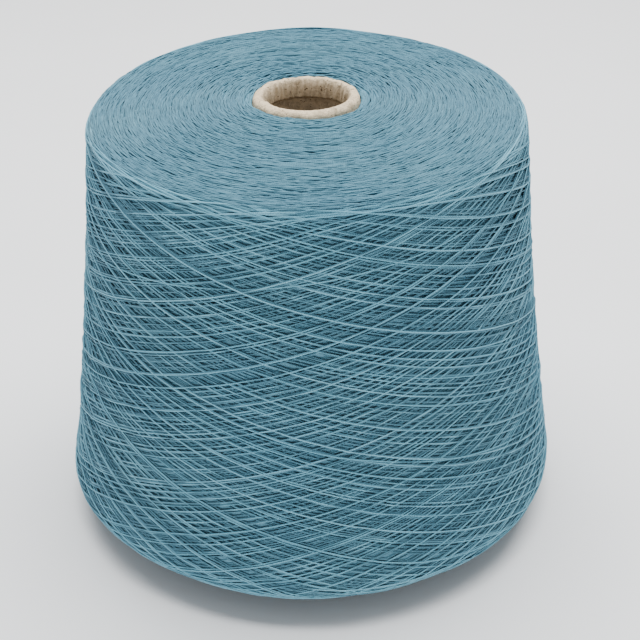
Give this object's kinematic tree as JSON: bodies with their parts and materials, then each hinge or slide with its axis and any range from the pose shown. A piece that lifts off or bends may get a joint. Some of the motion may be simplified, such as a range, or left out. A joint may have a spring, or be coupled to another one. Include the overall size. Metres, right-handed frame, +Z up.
{
  "type": "yarn cone",
  "caption": "Cone of knitting yarn: cross-wound tapered package on a paperboard cone with a folded-in nose, standing on its bare foot.",
  "frame": {"origin": "on the surface it stands on, at the centre of the cone's foot", "axes": "+Z up the cone's axis from foot to nose; -Y towards the side seen first; round about Z"},
  "size_m": [0.192, 0.192, 0.17],
  "materials": {
    "paperboard": "unprinted grey-beige wound board, matt, polished at the nose",
    "yarn": "matt teal-blue spun yarn with a light fuzz"
  },
  "bodies": {
    "root": {"paper_cone": "paperboard", "wound_yarn": "yarn", "transfer_tail": "yarn"}
  },
  "joints": []
}
